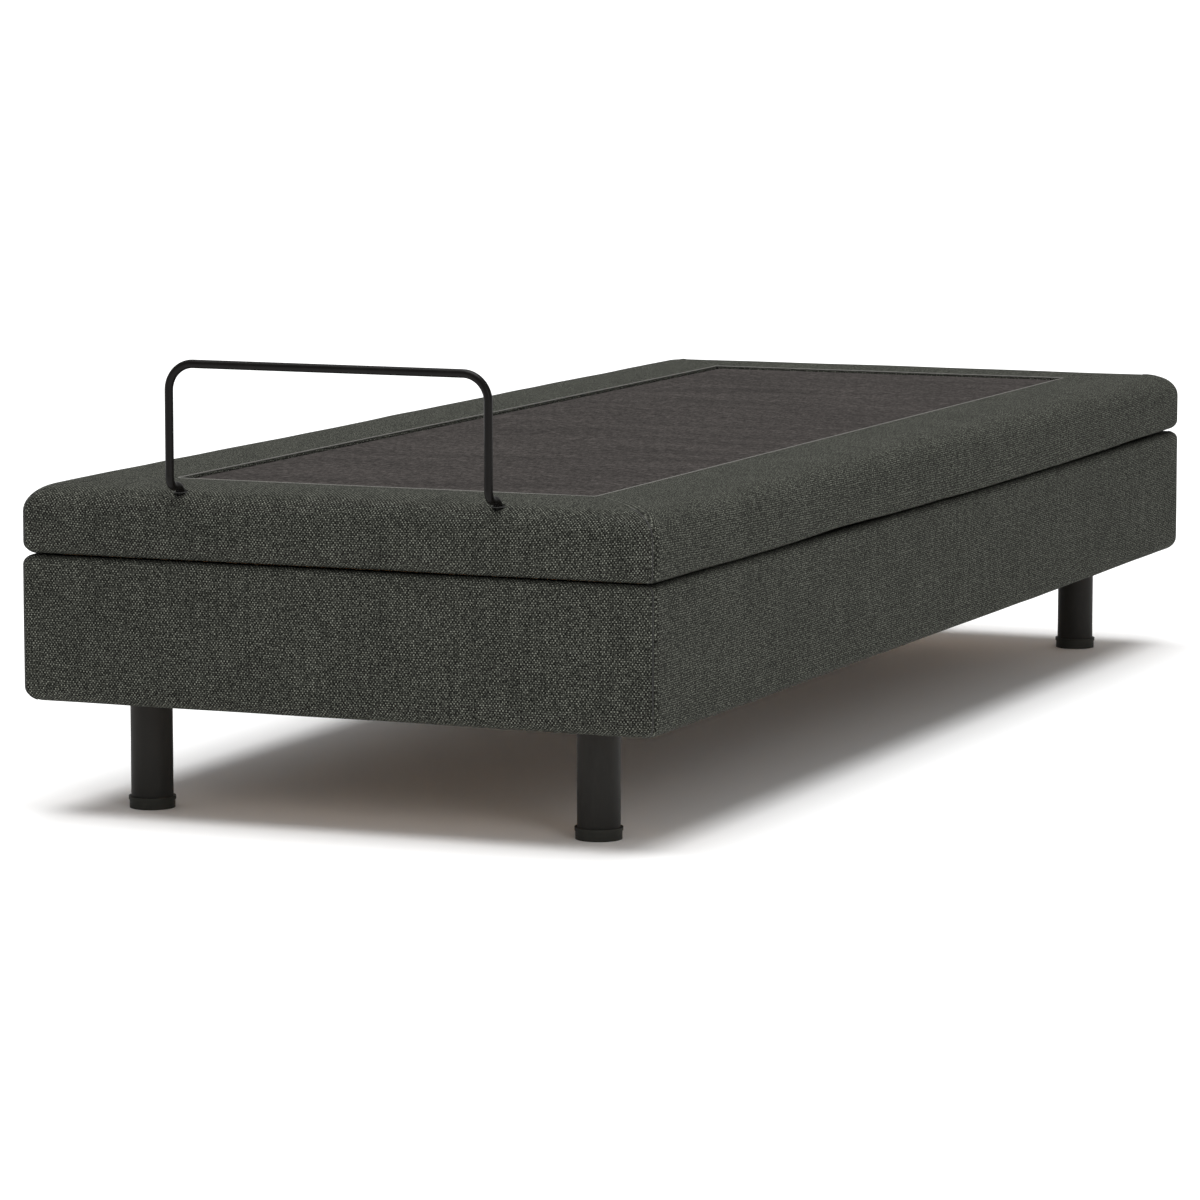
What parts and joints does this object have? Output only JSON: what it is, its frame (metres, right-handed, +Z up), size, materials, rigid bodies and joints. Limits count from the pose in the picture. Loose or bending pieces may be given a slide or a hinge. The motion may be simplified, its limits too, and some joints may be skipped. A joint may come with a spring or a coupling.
{
  "type": "adjustable bed base",
  "caption": "Upholstered adjustable bed base: box on tube legs, hinged deck with padded border, linear drives inside, mattress retainer at the foot.",
  "frame": {"origin": "on the floor, under the middle of the whole object (bed and mattress retainer)", "axes": "+Z up, +Y from the foot end to the head end, +X to the side at the right of someone at the foot end looking to the head end"},
  "size_m": [0.8, 2.013, 0.542],
  "materials": {
    "box_fabric": "charcoal grey-green melange weave",
    "deck_fabric": "charcoal grey-green melange weave",
    "mat_fabric": "brown-grey anti-slip fabric",
    "timber": "sawn softwood",
    "plywood": "sanded plywood",
    "frame_steel": "satin black powder coat",
    "leg_steel": "satin black powder coat",
    "retainer_steel": "gloss dark brown-black lacquer",
    "zinc_steel": "bright zinc plate",
    "drive_metal": "drawn aluminium",
    "cap_plastic": "moulded",
    "drive_plastic": "moulded, fine grain",
    "bearing_plastic": "natural acetal",
    "black_rubber": "moulded"
  },
  "bodies": {
    "base": {"side_board_left": "timber", "side_board_right": "timber", "foot_board": "timber", "head_board": "timber", "box_cover_left": "box_fabric", "box_cover_right": "box_fabric", "box_cover_foot": "box_fabric", "box_cover_head": "box_fabric", "leg_battens": "timber", "cross_beams": "timber", "frame_rail_left": "frame_steel", "frame_rail_right": "frame_steel", "hinge_brackets": "frame_steel", "hinge_bushes": "bearing_plastic", "link_pins": "zinc_steel", "drive_beams": "frame_steel", "rest_buffers": "black_rubber", "leg_foot_left": "leg_steel", "leg_foot_right": "leg_steel", "leg_head_left": "leg_steel", "leg_head_right": "leg_steel", "foot_caps": "cap_plastic", "leg_nuts": "zinc_steel", "seat_panel": "plywood", "seat_skirts": "timber", "seat_padding": "deck_fabric", "seat_mat": "mat_fabric", "seat_supports": "frame_steel", "motors": "frame_steel", "gear_housings": "drive_plastic", "drive_tubes": "drive_metal", "control_box": "drive_plastic", "power_supply": "drive_plastic", "drive_cables": "black_rubber"},
    "calf": {"calf_panel": "plywood", "calf_skirts": "timber", "calf_padding": "deck_fabric", "calf_mat": "mat_fabric", "knee_shaft": "frame_steel", "calf_frame": "frame_steel", "retainer_sockets": "zinc_steel"},
    "thigh": {"thigh_panel": "plywood", "thigh_skirts": "timber", "thigh_padding": "deck_fabric", "thigh_mat": "mat_fabric", "thigh_shaft": "frame_steel", "thigh_frame": "frame_steel", "thigh_glide": "bearing_plastic", "knee_bushes": "bearing_plastic"},
    "back": {"back_panel": "plywood", "back_skirts": "timber", "back_padding": "deck_fabric", "back_mat": "mat_fabric", "back_shaft": "frame_steel", "back_frame": "frame_steel", "back_glide": "bearing_plastic"},
    "links": {"calf_links": "zinc_steel"},
    "back_rod": {"back_drive_rod": "drive_metal"},
    "thigh_rod": {"thigh_drive_rod": "drive_metal"},
    "retainer": {"retainer_bar": "retainer_steel"}
  },
  "joints": [
    {"name": "back_hinge", "type": "hinge", "parent": "base", "child": "back", "pos_m": [0, 0.1865, 0.345], "axis": [1, 0, 0], "range_deg": [0, 65]},
    {"name": "thigh_hinge", "type": "hinge", "parent": "base", "child": "thigh", "pos_m": [0, -0.0735, 0.345], "axis": [-1, 0, 0], "range_deg": [0, 38]},
    {"name": "knee_hinge", "type": "hinge", "parent": "thigh", "child": "calf", "pos_m": [0, -0.3835, 0.345], "axis": [-1, 0, 0], "range_deg": [-38, 0]},
    {"name": "link_hinge", "type": "hinge", "parent": "base", "child": "links", "pos_m": [0, -0.4545, 0.224], "axis": [-1, 0, 0], "range_deg": [0, 38]},
    {"name": "back_drive_slide", "type": "slide", "parent": "base", "child": "back_rod", "axis": [0, 1, 0], "range_m": [0, 0.1398]},
    {"name": "thigh_drive_slide", "type": "slide", "parent": "base", "child": "thigh_rod", "axis": [0, -1, 0], "range_m": [0, 0.0847]},
    {"name": "retainer_lift", "type": "slide", "parent": "calf", "child": "retainer", "axis": [0, 0, 1], "range_m": [0, 0.055]}
  ],
  "couplings": [
    {"joint": "knee_hinge", "follows": "thigh_hinge", "ratio": -1},
    {"joint": "link_hinge", "follows": "thigh_hinge", "ratio": 1},
    {"joint": "thigh_drive_slide", "follows": "thigh_hinge", "m_per_rad": 0.12763},
    {"joint": "back_drive_slide", "follows": "back_hinge", "m_per_rad": 0.12314}
  ]
}
